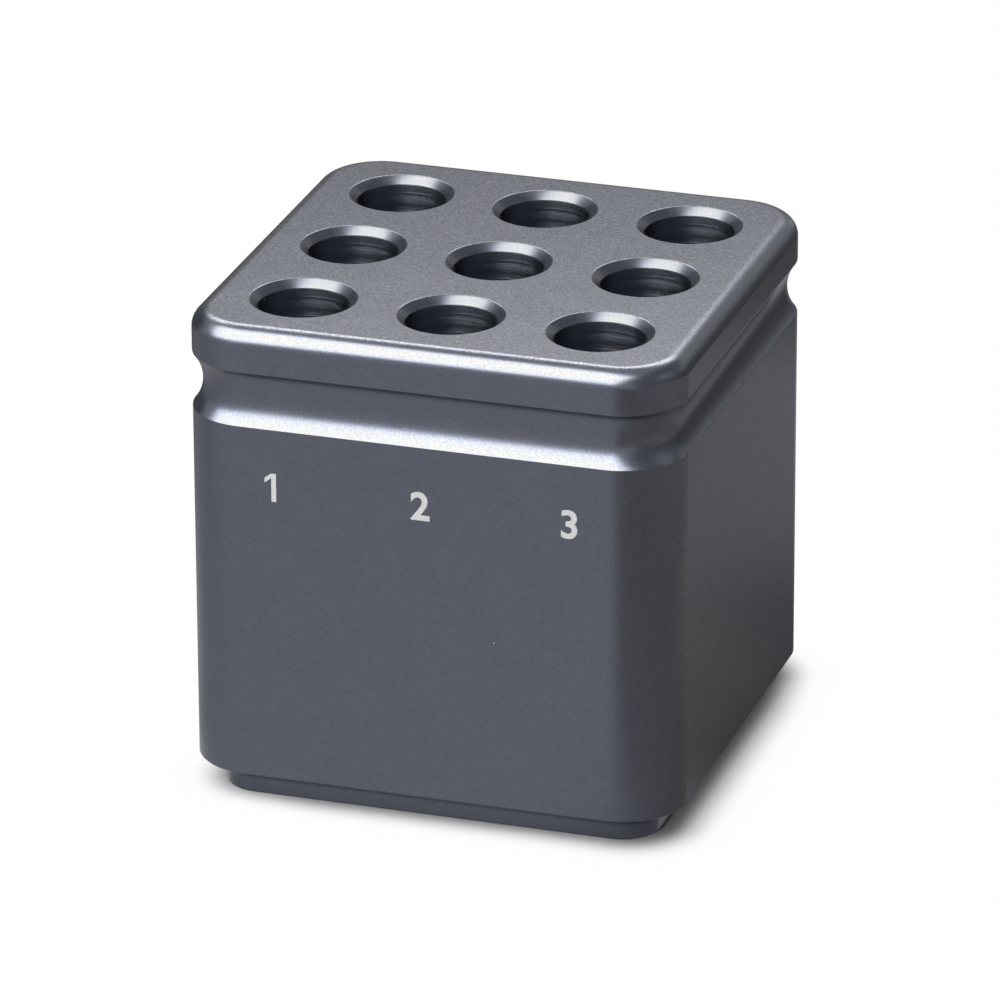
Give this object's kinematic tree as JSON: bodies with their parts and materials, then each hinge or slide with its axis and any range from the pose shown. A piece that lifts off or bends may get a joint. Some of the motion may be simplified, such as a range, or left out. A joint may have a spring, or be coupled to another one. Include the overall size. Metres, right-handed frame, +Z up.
{
  "type": "tube cooling rack",
  "caption": "Square metal cooling block with a grid of round blind wells for test tubes, a finger groove round its head and an inset foot.",
  "frame": {"origin": "centre of the foot's underside, where the block stands on the bench", "axes": "+Z up along the wells, out of their mouths; +X to the right along the front face; +Y to the back"},
  "size_m": [0.0918, 0.0918, 0.092],
  "materials": {
    "anodised_block": "bead blasted and anodised slate grey, machined and glossier in the well mouths"
  },
  "bodies": {
    "root": {"rack_block": "anodised_block"}
  },
  "joints": []
}
